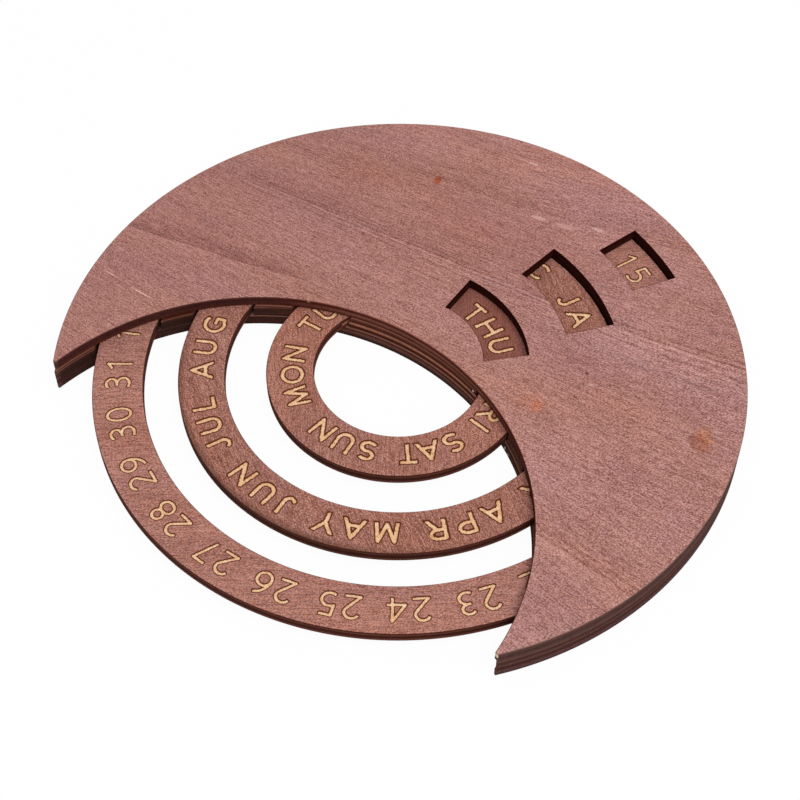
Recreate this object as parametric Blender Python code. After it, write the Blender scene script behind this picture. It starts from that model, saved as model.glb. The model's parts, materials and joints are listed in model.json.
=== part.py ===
# Wooden disc calendar: a crescent of three plywood layers that holds three turning rings.
# It lies on its back with the front face up. Its windows point along +Y, which is up on a wall.
# The back plate, the spacers and the front plate are glued into one body. Each ring runs in a
# channel between two spacers, and shows in the bite and through one window of the front plate.

import math

import bmesh
import bpy
from mathutils import Vector

# Sheet and clearances, in metres
PLY_THICKNESS = 0.0028  # a nominal 3 mm sheet
GLUE_LINE = 0.0003
RING_CLEARANCE = 0.0008  # beside a ring, on each side
EDGE_BREAK = 0.0002  # sanded off the corners of the plates and rings

# Widths along the radius, from the centre outwards
CORE_RADIUS = 0.0202
WEEK_RING_WIDTH = 0.0114
INNER_SPACER_WIDTH = 0.0084
MONTH_RING_WIDTH = 0.0114
OUTER_SPACER_WIDTH = 0.0068
DATE_RING_WIDTH = 0.0123
RIM_WIDTH = 0.0087

# The round bite that turns the disc into a crescent
BITE_RADIUS = 0.0661
CORE_DEPTH = 0.0116  # what the bite leaves of the core, measured towards the disc's centre
BITE_HEADING = math.radians(-65.8)

# Windows: width along the arc, height along the radius, and shift outwards from mid ring
WEEK_WINDOW_WIDTH = 0.0248
WEEK_WINDOW_HEIGHT = 0.0114
WEEK_WINDOW_SHIFT = -0.0007
MONTH_WINDOW_WIDTH = 0.0254
MONTH_WINDOW_HEIGHT = 0.0121
MONTH_WINDOW_SHIFT = 0.0
DATE_WINDOW_WIDTH = 0.0168
DATE_WINDOW_HEIGHT = 0.0117
DATE_WINDOW_SHIFT = 0.0005
WINDOW_HEADING = math.radians(90)

# How far a cutter runs past what it cuts
CUT_OVERRUN = 0.002

# Facets
CIRCLE_STEPS = 144
WINDOW_STEPS = 16
SMOOTH_ANGLE = math.radians(30)

# Radii of the rings and of the spacers between them
week_ring_inner = CORE_RADIUS + RING_CLEARANCE
week_ring_outer = week_ring_inner + WEEK_RING_WIDTH
inner_spacer_inner = week_ring_outer + RING_CLEARANCE
inner_spacer_outer = inner_spacer_inner + INNER_SPACER_WIDTH
month_ring_inner = inner_spacer_outer + RING_CLEARANCE
month_ring_outer = month_ring_inner + MONTH_RING_WIDTH
outer_spacer_inner = month_ring_outer + RING_CLEARANCE
outer_spacer_outer = outer_spacer_inner + OUTER_SPACER_WIDTH
date_ring_inner = outer_spacer_outer + RING_CLEARANCE
date_ring_outer = date_ring_inner + DATE_RING_WIDTH
rim_inner = date_ring_outer + RING_CLEARANCE
disc_radius = rim_inner + RIM_WIDTH

# Heights of the three layers
middle_layer = PLY_THICKNESS + GLUE_LINE
front_layer = middle_layer + PLY_THICKNESS + GLUE_LINE
stack_height = front_layer + PLY_THICKNESS

# The bite goes past the disc's centre by what the core has beyond its depth. From the bite's
# heading, each tip of the crescent lies a tip turn away.
bite_offset = BITE_RADIUS - (CORE_RADIUS - CORE_DEPTH)
tip_turn = math.acos(
    (disc_radius**2 + bite_offset**2 - BITE_RADIUS**2) / (2 * disc_radius * bite_offset)
)


def along(heading, distance):
    return Vector((distance * math.cos(heading), distance * math.sin(heading), 0))


def reach(heading):
    """How far the crescent and its rings reach from the disc's centre towards a heading."""
    turn = abs(math.remainder(heading - BITE_HEADING, math.tau))
    if turn >= tip_turn:
        return disc_radius
    return max(date_ring_outer, disc_radius * math.cos(tip_turn - turn))


def clear_scene():
    for obj in list(bpy.data.objects):
        bpy.data.objects.remove(obj, do_unlink=True)


def stained_wood(name, colour, roughness):
    material = bpy.data.materials.new(name)
    material.use_nodes = True
    shader = material.node_tree.nodes["Principled BSDF"]
    shader.inputs["Base Color"].default_value = (*colour, 1)
    shader.inputs["Roughness"].default_value = roughness
    shader.inputs["Metallic"].default_value = 0
    return material


def add_piece(name, shape, material, height):
    """Turns a bmesh built round the disc's centre into an object on the disc's axis."""
    bmesh.ops.recalc_face_normals(shape, faces=shape.faces)
    mesh = bpy.data.meshes.new(name)
    shape.to_mesh(mesh)
    shape.free()
    mesh.shade_smooth()
    mesh.set_sharp_from_angle(angle=SMOOTH_ANGLE)
    mesh.materials.append(material)
    piece = bpy.data.objects.new(name, mesh)
    bpy.context.scene.collection.objects.link(piece)
    piece.parent = disc_axis
    piece.location.z = height
    return piece


def solid_disc(radius, thickness):
    shape = bmesh.new()
    bmesh.ops.create_circle(shape, cap_ends=True, segments=CIRCLE_STEPS, radius=radius)
    raised = bmesh.ops.extrude_face_region(shape, geom=list(shape.faces), use_keep_orig=True)
    top = [item for item in raised["geom"] if isinstance(item, bmesh.types.BMVert)]
    bmesh.ops.translate(shape, verts=top, vec=(0, 0, thickness))
    return shape


def turned_ring(inner, outer, thickness, edge_break):
    """A flat ring, turned from its cross section with the four corners broken."""
    low, high = edge_break, thickness - edge_break
    near, far = inner + edge_break, outer - edge_break
    section = [
        (near, 0), (far, 0), (outer, low), (outer, high),
        (far, thickness), (near, thickness), (inner, high), (inner, low),
    ]
    if not edge_break:
        section = [(inner, 0), (outer, 0), (outer, thickness), (inner, thickness)]
    shape = bmesh.new()
    corners = [shape.verts.new((radius, 0, height)) for radius, height in section]
    sides = [shape.edges.new(pair) for pair in zip(corners, corners[1:] + corners[:1])]
    bmesh.ops.spin(
        shape,
        geom=corners + sides,
        cent=(0, 0, 0),
        axis=(0, 0, 1),
        angle=math.tau,
        steps=CIRCLE_STEPS,
        use_merge=True,
    )
    return shape


def window_prism(mid_radius, width, height):
    """A sector of a ring, as deep as a plate with the overrun on both faces."""
    half_turn = width / mid_radius / 2
    turns = [half_turn * (2 * step / WINDOW_STEPS - 1) for step in range(WINDOW_STEPS + 1)]
    outer_arc = [along(WINDOW_HEADING + turn, mid_radius + height / 2) for turn in turns]
    inner_arc = [along(WINDOW_HEADING + turn, mid_radius - height / 2) for turn in turns]
    shape = bmesh.new()
    outline = [shape.verts.new(point) for point in outer_arc + inner_arc[::-1]]
    face = shape.faces.new(outline)
    raised = bmesh.ops.extrude_face_region(shape, geom=[face], use_keep_orig=True)
    top = [item for item in raised["geom"] if isinstance(item, bmesh.types.BMVert)]
    bmesh.ops.translate(shape, verts=outline, vec=(0, 0, -CUT_OVERRUN))
    bmesh.ops.translate(shape, verts=top, vec=(0, 0, PLY_THICKNESS + CUT_OVERRUN))
    return shape


def hide_cutter(cutter):
    cutter.hide_render = True
    cutter.display_type = "WIRE"
    return cutter


def cut(piece, cutter):
    modifier = piece.modifiers.new("cut by " + cutter.name, "BOOLEAN")
    modifier.operation = "DIFFERENCE"
    modifier.solver = "EXACT"
    modifier.object = cutter


def break_edges(piece):
    modifier = piece.modifiers.new("sanded edges", "BEVEL")
    modifier.width = EDGE_BREAK
    modifier.segments = 1
    modifier.limit_method = "ANGLE"
    modifier.angle_limit = SMOOTH_ANGLE


def make_bite_cutter(material):
    shape = solid_disc(BITE_RADIUS, stack_height + 2 * CUT_OVERRUN)
    cutter = hide_cutter(add_piece("bite_cutter", shape, material, -CUT_OVERRUN))
    cutter.location += along(BITE_HEADING, bite_offset)
    return cutter


def make_front_plate(material, bite):
    plate = add_piece("front_plate", solid_disc(disc_radius, PLY_THICKNESS), material, front_layer)
    cut(plate, bite)
    windows = {
        "week": (week_ring_inner + WEEK_RING_WIDTH / 2 + WEEK_WINDOW_SHIFT,
                 WEEK_WINDOW_WIDTH, WEEK_WINDOW_HEIGHT),
        "month": (month_ring_inner + MONTH_RING_WIDTH / 2 + MONTH_WINDOW_SHIFT,
                  MONTH_WINDOW_WIDTH, MONTH_WINDOW_HEIGHT),
        "date": (date_ring_inner + DATE_RING_WIDTH / 2 + DATE_WINDOW_SHIFT,
                 DATE_WINDOW_WIDTH, DATE_WINDOW_HEIGHT),
    }
    for name, (mid_radius, width, height) in windows.items():
        shape = window_prism(mid_radius, width, height)
        cut(plate, hide_cutter(add_piece(name + "_window_cutter", shape, material, front_layer)))
    break_edges(plate)


def make_back_plate(material, bite):
    plate = add_piece("back_plate", solid_disc(disc_radius, PLY_THICKNESS), material, 0)
    cut(plate, bite)
    break_edges(plate)


def make_spacers(material, bite):
    """The middle layer: what is left of the sheet beside the three ring channels."""
    core = add_piece("core_spacer", solid_disc(CORE_RADIUS, PLY_THICKNESS), material, middle_layer)
    cut(core, bite)
    spacers = {
        "inner_spacer": (inner_spacer_inner, inner_spacer_outer),
        "outer_spacer": (outer_spacer_inner, outer_spacer_outer),
        "rim_spacer": (rim_inner, disc_radius),
    }
    for name, (inner, outer) in spacers.items():
        shape = turned_ring(inner, outer, PLY_THICKNESS, 0)
        cut(add_piece(name, shape, material, middle_layer), bite)


def make_rings(material):
    """The rings come from the same sheet as the spacers, so they clear both plates."""
    rings = {
        "week_ring": (week_ring_inner, week_ring_outer),
        "month_ring": (month_ring_inner, month_ring_outer),
        "date_ring": (date_ring_inner, date_ring_outer),
    }
    for name, (inner, outer) in rings.items():
        shape = turned_ring(inner, outer, PLY_THICKNESS, EDGE_BREAK)
        add_piece(name, shape, material, middle_layer)


clear_scene()

# The disc's centre lies where the origin is the middle of the whole outline
disc_axis = bpy.data.objects.new("disc_axis", None)
bpy.context.scene.collection.objects.link(disc_axis)
disc_axis.location = Vector((
    (reach(math.pi) - reach(0)) / 2,
    (reach(-math.pi / 2) - reach(math.pi / 2)) / 2,
    0,
))

front_face = stained_wood("stained ply, front", (0.40, 0.19, 0.16), 0.62)
back_face = stained_wood("stained ply, back", (0.36, 0.17, 0.14), 0.66)
charred_layer = stained_wood("stained ply, charred edges", (0.09, 0.04, 0.03), 0.7)
ring_face = stained_wood("stained ply, rings", (0.35, 0.15, 0.12), 0.6)

bite_cutter = make_bite_cutter(front_face)
make_back_plate(back_face, bite_cutter)
make_spacers(charred_layer, bite_cutter)
make_rings(ring_face)
make_front_plate(front_face, bite_cutter)
bpy.context.view_layer.update()
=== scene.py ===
# Wooden disc calendar: stained plywood sheets, charred laser-cut edges and engraved rings.
# Every sheet comes from its flat outline through one node tree, which adds the veneers of the
# edges and, on the rings, the engraving.
import json
import math
import random

import bmesh
import bpy
from mathutils import Matrix, Vector
from mathutils.geometry import delaunay_2d_cdt, intersect_line_line_2d

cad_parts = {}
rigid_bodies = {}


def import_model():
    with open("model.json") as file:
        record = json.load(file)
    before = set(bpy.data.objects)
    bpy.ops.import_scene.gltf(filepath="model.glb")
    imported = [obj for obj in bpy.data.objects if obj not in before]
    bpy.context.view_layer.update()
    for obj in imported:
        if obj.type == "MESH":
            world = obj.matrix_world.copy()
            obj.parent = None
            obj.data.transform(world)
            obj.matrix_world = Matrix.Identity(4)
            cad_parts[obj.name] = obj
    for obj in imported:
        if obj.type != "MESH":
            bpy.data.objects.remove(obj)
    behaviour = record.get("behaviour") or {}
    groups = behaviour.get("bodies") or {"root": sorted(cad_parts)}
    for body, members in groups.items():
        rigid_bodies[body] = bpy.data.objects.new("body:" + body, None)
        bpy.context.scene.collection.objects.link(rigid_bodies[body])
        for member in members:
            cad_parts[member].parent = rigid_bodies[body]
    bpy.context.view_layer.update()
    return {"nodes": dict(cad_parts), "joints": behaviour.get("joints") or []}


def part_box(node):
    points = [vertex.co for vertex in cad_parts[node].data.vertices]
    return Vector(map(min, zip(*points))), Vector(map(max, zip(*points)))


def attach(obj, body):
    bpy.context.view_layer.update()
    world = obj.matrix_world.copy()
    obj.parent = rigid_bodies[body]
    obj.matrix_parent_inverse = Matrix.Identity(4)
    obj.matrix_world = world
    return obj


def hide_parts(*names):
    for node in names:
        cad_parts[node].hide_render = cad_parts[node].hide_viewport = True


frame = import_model()
nodes = frame["nodes"]
discCentre = Vector(frame["joints"][0]["pos_m"]) * Vector((1, 1, 0))
mm = 0.001
scene = bpy.context.scene
print("frame loaded:", len(nodes), "nodes")


def newObject(name, data):
    made = bpy.data.objects.new(name, data)
    scene.collection.objects.link(made)
    return made


# Node trees: a wire is an output socket that takes part in sums
def wireSum(operation, swapped=False):
    def made(wire, other):
        pair = (other, wire) if swapped else (wire, other)
        return wire.graph.sum(operation, *pair)

    return made


class Wire:
    def __init__(self, graph, socket):
        self.graph = graph
        self.socket = socket

    __add__ = __radd__ = wireSum("ADD")
    __sub__ = wireSum("SUBTRACT")
    __rsub__ = wireSum("SUBTRACT", swapped=True)
    __mul__ = __rmul__ = wireSum("MULTIPLY")
    __truediv__ = wireSum("DIVIDE")


class Graph:
    def __init__(self, tree):
        self.tree = tree
        tree.nodes.clear()

    # Any node: its type, its settings, then the values or wires of its sockets
    def add(self, kind, settings=None, sockets=None, output=0):
        made = self.tree.nodes.new(kind)
        row, column = divmod(len(self.tree.nodes), 12)
        made.location = (190 * column, -230 * row)
        for name, value in (settings or {}).items():
            setattr(made, name, value)
        for name, value in (sockets or {}).items():
            for item in value if isinstance(value, list) else [value]:
                if isinstance(item, Wire):
                    self.tree.links.new(item.socket, made.inputs[name])
                else:
                    made.inputs[name].default_value = item
        return Wire(self, made.outputs[output]) if made.outputs else made

    # A colour ramp whose stops are positions and colours
    def ramp(self, value, stops):
        made = self.add("ShaderNodeValToRGB", None, {0: value})
        elements = made.socket.node.color_ramp.elements
        while len(elements) < len(stops):
            elements.new(0.5)
        for element, (position, colour) in zip(elements, stops):
            element.position = position
            element.color = (*colour, 1)
        return made

    def sum(self, operation, first, second=0.0, clamp=False):
        sockets = {0: first, 1: second}
        return self.add("ShaderNodeMath", {"operation": operation, "use_clamp": clamp}, sockets)

    # From 0 at low to 1 at high, with soft ends
    def ease(self, value, low, high):
        sockets = {0: value, 1: low, 2: high}
        return self.add("ShaderNodeMapRange", {"interpolation_type": "SMOOTHSTEP"}, sockets)

    def vector(self, operation, first, second):
        return self.add("ShaderNodeVectorMath", {"operation": operation}, {0: first, 1: second})

    def scaled(self, vector, factor):
        return self.add("ShaderNodeVectorMath", {"operation": "SCALE"}, {0: vector, "Scale": factor})

    def length(self, vector):
        return self.add("ShaderNodeVectorMath", {"operation": "LENGTH"}, {0: vector}, "Value")

    def combine(self, x=0.0, y=0.0, z=0.0):
        return self.add("ShaderNodeCombineXYZ", None, {0: x, 1: y, 2: z})

    def split(self, vector):
        made = self.add("ShaderNodeSeparateXYZ", None, {0: vector}).socket.node
        return [Wire(self, made.outputs[axis]) for axis in range(3)]

    def distance(self, x, y, centre=(0, 0)):
        return self.length(self.combine(x - centre[0], y - centre[1]))

    def blend(self, factor, first, second, how="MIX"):
        wide = [(*colour, 1) if isinstance(colour, tuple) else colour for colour in (first, second)]
        settings = {"data_type": "RGBA", "blend_type": how, "clamp_factor": True}
        return self.add("ShaderNodeMix", settings, {0: factor, 6: wide[0], 7: wide[1]}, 2)

    def tinted(self, colour, tint):
        return self.blend(1.0, colour, tint, "MULTIPLY")

    # Noise of about -1 to 1 round zero, on a vector in its own units
    def noise(self, vector, scale=1.0, detail=2.0, roughness=0.5):
        sockets = {"Vector": vector, "Scale": scale, "Detail": detail, "Roughness": roughness}
        return (self.add("ShaderNodeTexNoise", {"noise_dimensions": "3D"}, sockets) - 0.5) * 2


# Finishes
def newMaterial(name):
    material = bpy.data.materials.new(name)
    material.use_nodes = True
    return material, Graph(material.node_tree)


def finishMaterial(graph, colour, roughness, height, bump, specular=0.12):
    normal = graph.add("ShaderNodeBump", None, bump | {"Height": height})
    sockets = {"Base Color": colour, "Roughness": roughness, "Normal": normal,
               "Specular IOR Level": specular}
    shader = graph.add("ShaderNodeBsdfPrincipled", None, sockets)
    graph.add("ShaderNodeOutputMaterial", None, {"Surface": shader})


# Place on the calendar in millimetres from the disc's centre, and along and across the grain
def placeOnDisc(graph, heading=0, shift=0):
    place = graph.add("ShaderNodeTexCoord", None, None, "Object")
    place = graph.scaled(graph.vector("SUBTRACT", place, tuple(discCentre)), 1 / mm)
    sockets = {"Vector": place, "Location": (shift, shift, 0), "Rotation": (0, 0, -math.radians(heading))}
    return place, graph.add("ShaderNodeMapping", {"vector_type": "POINT"}, sockets)


# A soft spot with its own place, half sizes and turn, all in millimetres and degrees. Its core is
# where the full colour starts, and grit is the scale of its ragged edge.
def newSpot(at, size, turn, colour, strength, core=0.35, ragged=0.25, grit=0.9):
    return {"at": at, "size": size, "turn": turn, "colour": colour, "strength": strength,
            "core": core, "ragged": ragged, "grit": grit}


# A broad wash of the stain, which fades out slowly
def newWash(at, size, turn, colour):
    return newSpot(at, size, turn, colour, 1.0, core=0.1, ragged=0.3, grit=0.06)


def spotMask(graph, place, spot):
    long, short = spot["size"]
    sockets = {"Vector": graph.vector("SUBTRACT", place, (*spot["at"], 0)),
               "Rotation": (0, 0, -math.radians(spot["turn"]))}
    local = graph.add("ShaderNodeMapping", {"vector_type": "POINT"}, sockets)
    alongSpot, acrossSpot, _ = graph.split(local)
    ragged = graph.noise(place, spot["grit"], 3, 0.6) * spot["ragged"]
    reach = graph.distance(alongSpot / long, acrossSpot / short) + ragged
    return graph.ease(reach, 1, spot["core"]) * spot["strength"]


# A chip or speck on an edge: a small ball, in millimetres
def speckMask(graph, place, at, size):
    away = graph.vector("DIVIDE", graph.vector("SUBTRACT", place, at), size)
    return graph.ease(graph.length(away) + graph.noise(place, 2.2, 2) * 0.35, 1, 0.75)


# Noise in the wood: its scales along and across the grain, its offset, detail and roughness
woodNoise = {
    "fibre": (0.33, 3.0, 0, 2, 0.6), "thread": (0.07, 1.4, 3, 2, 0.6),
    "streak": (0.025, 0.42, 9, 2, 0.55), "band": (0.007, 0.085, 5, 2, 0.5),
    "patch": (0.02, 0.045, 11, 3, 0.5), "hue": (0.7, 1.6, 23, 2, 0.6),
    "vein": (0.085, 2.1, 31, 1, 0.5), "pore": (0.7, 3.2, 19, 1, 0.5),
}
# Where veins, pores and soot begin in their noise, and where they are full
woodEdges = {"vein": (0.22, 0.6), "pore": (0.52, 0.8), "soot": (0.04, 0.45)}
# Growth lines: how far they wander, fade outside and inside their ends, jump back and crease
growthLook = {"wander": 0.9, "ends": (12, 6), "jump": (-0.35, 0.1), "crease": (0.42, 0.1)}


def stainedFace(name, look):
    material, g = newMaterial(name)
    place, grain = placeOnDisc(g, look["grainHeading"], look["shift"])
    along, across, _ = g.split(grain)
    wander = g.noise(g.combine(along * 0.012, across * 0.03), 1, 2) * look["wander"]
    across = across * (1 - along * look["fan"]) + wander
    noise = {}
    for kind, (lengthwise, crosswise, offset, detail, roughness) in woodNoise.items():
        sample = g.combine(along * lengthwise, across * crosswise, offset)
        noise[kind] = g.noise(sample, 1, detail, roughness)
    noise["speck"] = g.noise(g.combine(along * 2.3, across * 3.9, along * 1.3 - across * 1.9), 1, 1)
    speck, fibre, patch = noise["speck"], noise["fibre"], noise["patch"]
    x, y, _ = g.split(place)
    # Painted light: the tone rises along x, lighter towards the lamp's side
    tone = x * look["lightSlope"]
    for kind in ("speck", "fibre", "thread", "streak", "band"):
        tone = tone + noise[kind] * look[kind]
    # Thin dark veins, close together in some places and missing in others
    tone = tone - g.ease(noise["vein"] + patch * 0.5, *woodEdges["vein"]) * look["vein"]
    # Growth lines: the tone falls towards each line and jumps back past it
    outside, inside = growthLook["ends"]
    jump = growthLook["jump"]
    for line in look["growthLines"]:
        gap = across - line["across"] - along * line.get("slope", 0.0)
        gap = gap + g.noise(g.combine(along * 0.06, 0, line["across"]), 1, 2) * growthLook["wander"]
        ends = g.ease(along, line["from"] - outside, line["from"] + inside)
        ends = ends * g.ease(along, line["to"] + outside, line["to"] - inside)
        shade = g.ease(gap, line["width"], 0) * g.ease(gap, *jump)
        glow = g.ease(gap, math.copysign(line["glowWidth"], -line["width"]), 0) * g.ease(gap, *jump[::-1])
        crease = 0.0
        for beside in line.get("creases", (0.0,)):
            # Each crease is worn away in places
            wearAndHighlight = g.noise(g.combine(along * 0.16, line["across"] + beside), 1, 2) * 1.2 + 0.8
            crease = crease + g.ease(g.sum("ABSOLUTE", gap - beside), *growthLook["crease"]) * wearAndHighlight
        tone = tone - (shade * line["shade"] - glow * line["glow"] + crease * line["crease"]) * ends
    stops = [(0, look["dark"]), (0.5, look["colour"]), (1, look["light"])]
    colour = g.ramp(tone * 0.5 + 0.5, stops)
    warmth = patch * look["warmPatches"] + noise["streak"] * 0.4 + noise["hue"] * look["warmFlecks"]
    colour = g.tinted(colour, g.blend(warmth * 0.5 + 0.5, look["cool"], look["warm"]))
    pores = g.ease(noise["pore"], *woodEdges["pore"])
    colour = g.blend(pores * look["pores"], colour, look["pore"])
    for spot in look["spots"]:
        colour = g.blend(spotMask(g, place, spot), colour, spot["colour"])
    if "edgeDarkening" in look:
        # Darker beside a round edge, all along it or on one side
        edgeDarkening = look["edgeDarkening"]
        radius = g.distance(x, y, edgeDarkening["centre"])
        darkening = g.ease(radius + g.noise(place, 0.06, 3) * edgeDarkening["drift"], edgeDarkening["from"], edgeDarkening["to"])
        if "heading" in edgeDarkening:
            heading = math.radians(edgeDarkening["heading"])
            facing = (x * math.cos(heading) + y * math.sin(heading)) / edgeDarkening["to"]
            darkening = darkening * g.ease(facing, edgeDarkening["fade"], 0.95)
        colour = g.blend(darkening * edgeDarkening["strength"], colour, edgeDarkening["colour"])
    for tint in look["washes"] + look["stains"]:
        colour = g.tinted(colour, g.blend(spotMask(g, place, tint), (1, 1, 1), tint["colour"]))
    burn = g.add("ShaderNodeAttribute", {"attribute_name": "burn"}, None, "Fac")
    soot = g.ease(burn + fibre * 0.25 + speck * 0.25, *woodEdges["soot"])
    colour = g.blend(soot, colour, look["charred"])
    roughness = 0.66 - fibre * 0.05 + noise["band"] * 0.03
    height = fibre * 0.6 + noise["thread"] * 0.4 + speck * 0.3 - pores * 0.8
    finishMaterial(g, colour, roughness, height, look["bump"])
    return material


# Veneers of the three sheets from the bottom up, as heights in millimetres and colours in
# thousandths: where the laser charred the edges, in the middle of the bite, where it left them
# bare, at the bite's left end, and round the rim
edgeLook = {
    "stack": 9.0,
    "charred": [
        (0, 40, 12, 9), (0.6, 50, 15, 11), (1.2, 80, 26, 19), (1.7, 66, 20, 14), (2.2, 48, 12, 8),
        (2.8, 30, 9, 6), (3.1, 28, 9, 6), (3.4, 100, 34, 23), (3.65, 135, 47, 32), (4, 90, 27, 18),
        (4.35, 48, 12, 8), (4.8, 48, 12, 8), (5.15, 95, 30, 20), (5.5, 118, 39, 26), (5.8, 62, 17, 11),
        (6.15, 50, 11, 6), (6.5, 64, 12, 7), (7, 78, 18, 12), (7.4, 88, 23, 16), (7.9, 74, 16, 10),
        (8.3, 72, 14, 8), (9, 66, 13, 7),
    ],
    # Its top stops, from 8.84 mm, are lighter: partly wear on the top corner, partly a painted highlight
    "bare": [
        (0, 36, 15, 13), (0.6, 40, 16, 13), (0.95, 50, 17, 13), (1.25, 74, 28, 22), (1.55, 104, 40, 33),
        (1.9, 130, 56, 43), (2.15, 124, 53, 40), (2.45, 86, 29, 20), (2.7, 54, 13, 8),
        (2.95, 70, 18, 10), (3.12, 110, 35, 22), (3.4, 48, 10, 6), (3.72, 58, 12, 7), (4, 155, 51, 30),
        (4.28, 350, 142, 86), (4.62, 400, 160, 100), (4.9, 220, 75, 46), (5.2, 72, 17, 9),
        (5.5, 42, 9, 5), (5.85, 110, 36, 24), (6.25, 78, 16, 6), (6.6, 90, 22, 12), (6.9, 150, 49, 34),
        (7.2, 185, 64, 44), (7.52, 220, 79, 60), (7.82, 160, 56, 39), (8.1, 80, 16, 8),
        (8.35, 75, 14, 7), (8.62, 95, 24, 14), (8.84, 230, 83, 58), (9, 280, 105, 78),
    ],
    # Its bright line at 5.8 mm is a painted glint just below the front plate; its top stop is lighter, partly
    # wear, partly a painted highlight
    "leftEnd": [
        (0, 46, 18, 14), (1.6, 43, 17, 14), (2.4, 50, 18, 15), (2.8, 52, 18, 15), (3.1, 40, 16, 12),
        (4.2, 38, 16, 12), (4.9, 46, 16, 12), (5.55, 66, 22, 15), (5.8, 230, 105, 68), (6, 95, 26, 17),
        (6.3, 88, 22, 14), (6.7, 80, 21, 15), (7.1, 66, 19, 16), (8, 58, 17, 15), (8.55, 64, 18, 15),
        (9, 115, 42, 35),
    ],
    "rim": [
        (0, 50, 23, 22), (0.7, 82, 38, 37), (1.35, 104, 48, 45), (1.95, 78, 33, 29), (2.5, 54, 19, 15),
        (3, 70, 26, 21), (3.6, 106, 50, 41), (4.1, 82, 34, 27), (4.55, 56, 20, 15), (5, 86, 36, 29),
        (5.55, 122, 59, 50), (6.15, 90, 43, 36), (6.75, 80, 37, 31), (7.35, 66, 29, 24),
        (7.9, 92, 42, 34), (8.3, 105, 48, 38), (9, 96, 40, 33),
    ],
    "biteAt": (23.7, -52.8), "biteRadius": 66.0, "biteWithin": (1.9, 1.1), "rimFrom": (82.6, 83.4),
    "bareAt": (-3.5, 7.8), "bareReach": (46, 16), "leftEndFrom": (-24, -38),
    # The walls of the windows get a darker tint from this height up: painted shade in their recesses, over
    # their real char
    "window": (0.42, 0.36, 0.4), "windowFrom": (5.95, 6.15),
    # A painted highlight along the rim's top corner: its colour, and the heights where it starts and is full
    "wearAndHighlight": (0.31, 0.19, 0.16), "highlightFrom": (8.76, 8.91),
    "specks": [  # each with its place, size and colour
        ((81.4, -20.1, 8.2), (0.8, 0.8, 0.9), (0.8, 0.62, 0.44)),
        ((80.9, -21.0, 6.4), (0.5, 0.5, 0.4), (0.62, 0.42, 0.28)),
        ((-27.6, -10.8, 8.7), (0.6, 0.6, 0.3), (0.36, 0.16, 0.12)),
        ((14.5, 12.7, 5.6), (0.35, 0.35, 0.5), (0.8, 0.78, 0.76)),
        ((30.3, 12.5, 1.3), (0.35, 0.35, 0.6), (0.7, 0.66, 0.64)),
        ((32.0, 12.3, 0.8), (0.6, 0.6, 0.25), (0.62, 0.56, 0.54)),
    ],
    "bump": {"Strength": 0.35, "Distance": 0.0002},
}


def charredEdge(name, look):
    material, g = newMaterial(name)
    place, _ = placeOnDisc(g)
    x, y, z = g.split(place)
    wave = g.noise(place, 0.09, 2) * 0.1 + g.noise(place, 0.7, 2) * 0.05
    share = (z + wave) / look["stack"]

    def layers(key):
        stops = [(height / look["stack"], [part / 1000 for part in colour]) for height, *colour in look[key]]
        return g.ramp(share, stops)

    fromBite = g.distance(x, y, look["biteAt"])
    bite = g.ease(g.sum("ABSOLUTE", fromBite - look["biteRadius"]), *look["biteWithin"])
    rim = g.ease(g.distance(x, y), *look["rimFrom"])
    fromBare = g.distance(x, y, look["bareAt"])
    bare = bite * g.ease(fromBare + g.noise(place, 0.12, 2) * 4, *look["bareReach"])
    window = g.ease(z, *look["windowFrom"]) * (1 - g.sum("MAXIMUM", bite, rim))
    charred = layers("charred")
    colour = g.blend(bare, charred, layers("bare"))
    colour = g.blend(bite * g.ease(x, *look["leftEndFrom"]), colour, layers("leftEnd"))
    colour = g.blend(rim, colour, layers("rim"))
    # Painted shade: the walls of the windows are darkened over their char
    colour = g.blend(window, colour, g.tinted(charred, look["window"]))
    # Patches of soot, the laser's pulses up the wall, and lines along the veneers
    soot = g.noise(g.vector("MULTIPLY", place, (0.35, 0.35, 1.2)), 1, 4, 0.6)
    pulse = g.noise(g.vector("MULTIPLY", place, (3.2, 3.2, 0.25)), 1, 2, 0.5)
    line = g.noise(g.vector("MULTIPLY", place, (0.06, 0.06, 4.5)), 1, 2, 0.6)
    shade = 1 + soot * 0.4 + pulse * 0.3 + line * 0.45
    colour = g.tinted(colour, g.combine(shade, shade, shade))
    # The front corner of the rim is painted pale, a painted highlight along its top, and chips and glue show
    # here and there
    wearAndHighlight = g.ease(z, *look["highlightFrom"]) * rim
    colour = g.blend(wearAndHighlight * (0.6 + soot * 0.5), colour, look["wearAndHighlight"])
    for at, size, speckColour in look["specks"]:
        colour = g.blend(speckMask(g, place, at, size), colour, speckColour)
    roughness = 0.75 + soot * 0.12
    finishMaterial(g, colour, roughness, pulse + soot * 0.5 + line * 0.6, look["bump"], 0.02)
    return material


engravingLook = {
    "colour": (0.84, 0.46, 0.235),
    "pale": (1.0, 0.76, 0.5),
    "toasted": (0.46, 0.19, 0.07),
    "scanPitch": 0.16, "lift": 0.6,
    "bump": {"Strength": 0.5, "Distance": 0.0001},
}


def engravedFloor(name, look):
    material, g = newMaterial(name)
    place, _ = placeOnDisc(g)
    _, y, _ = g.split(place)
    scan = g.sum("SINE", (y + g.noise(place, 2.5, 2) * 0.05) * (math.tau / look["scanPitch"]))
    fibre = g.noise(g.vector("MULTIPLY", place, (1.6, 3.8, 1)), 1, 3, 0.6)
    patch = g.noise(place, 0.35, 2)
    tone = fibre * 1.8 + scan * 0.12 + patch * 0.6
    stops = [(0.0, look["toasted"]), (0.5, look["colour"]), (1.0, look["pale"])]
    colour = g.ramp(tone * 0.5 + look["lift"], stops)
    finishMaterial(g, colour, 0.75 + fibre * 0.05, scan * 0.3 + fibre, look["bump"], 0.2)
    return material


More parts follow.
